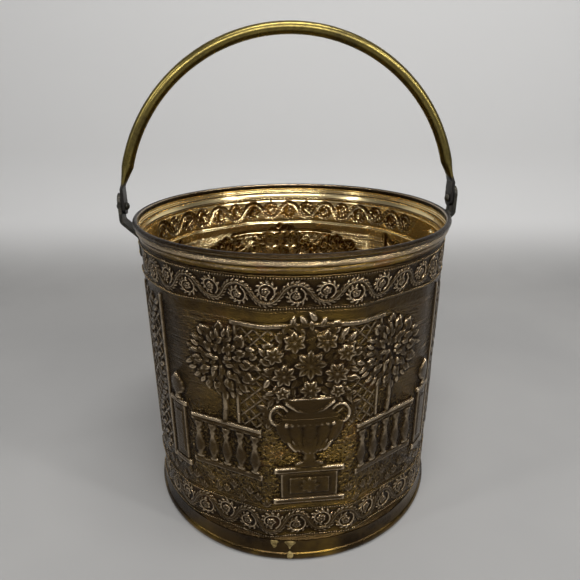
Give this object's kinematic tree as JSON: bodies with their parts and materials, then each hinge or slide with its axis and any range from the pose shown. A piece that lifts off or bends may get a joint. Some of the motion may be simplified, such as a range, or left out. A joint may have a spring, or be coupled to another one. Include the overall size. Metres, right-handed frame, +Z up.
{
  "type": "brass bucket",
  "caption": "Round straight-sided embossed brass bucket with a rolled rim, riveted iron lugs and a swinging arched bail, for coal, kindling or ash at a hearth.",
  "frame": {"origin": "centre of the foot ring on the floor", "axes": "+Z up along the bucket's axis, +X along the bail's pivot axis, front towards -Y"},
  "size_m": [0.3092, 0.2798, 0.4255],
  "materials": {
    "patinated_brass": "embossed, dark patina in the hollows, worn bright on the raised edges",
    "bright_brass": "clean, lightly brushed",
    "bail_brass": "aged, satin, handled",
    "dark_iron": "forged, blackened by age",
    "iron_wire": "drawn wire, bare"
  },
  "bodies": {
    "bucket": {"front_wall": "patinated_brass", "rear_wall": "patinated_brass", "foot_ring": "patinated_brass", "bottom_plate": "bright_brass", "left_seam_strap": "bright_brass", "right_seam_strap": "bright_brass", "rim_wire": "iron_wire", "left_lug": "dark_iron", "right_lug": "dark_iron", "left_lug_rivets": "bright_brass", "right_lug_rivets": "bright_brass", "left_pivot_rivet": "dark_iron", "right_pivot_rivet": "dark_iron"},
    "bail": {"bail": "bail_brass"}
  },
  "joints": [
    {"name": "bail_swing", "type": "hinge", "parent": "bucket", "child": "bail", "pos_m": [0, 0, 0.2795], "axis": [1, 0, 0], "range_deg": [-90, 90]}
  ]
}
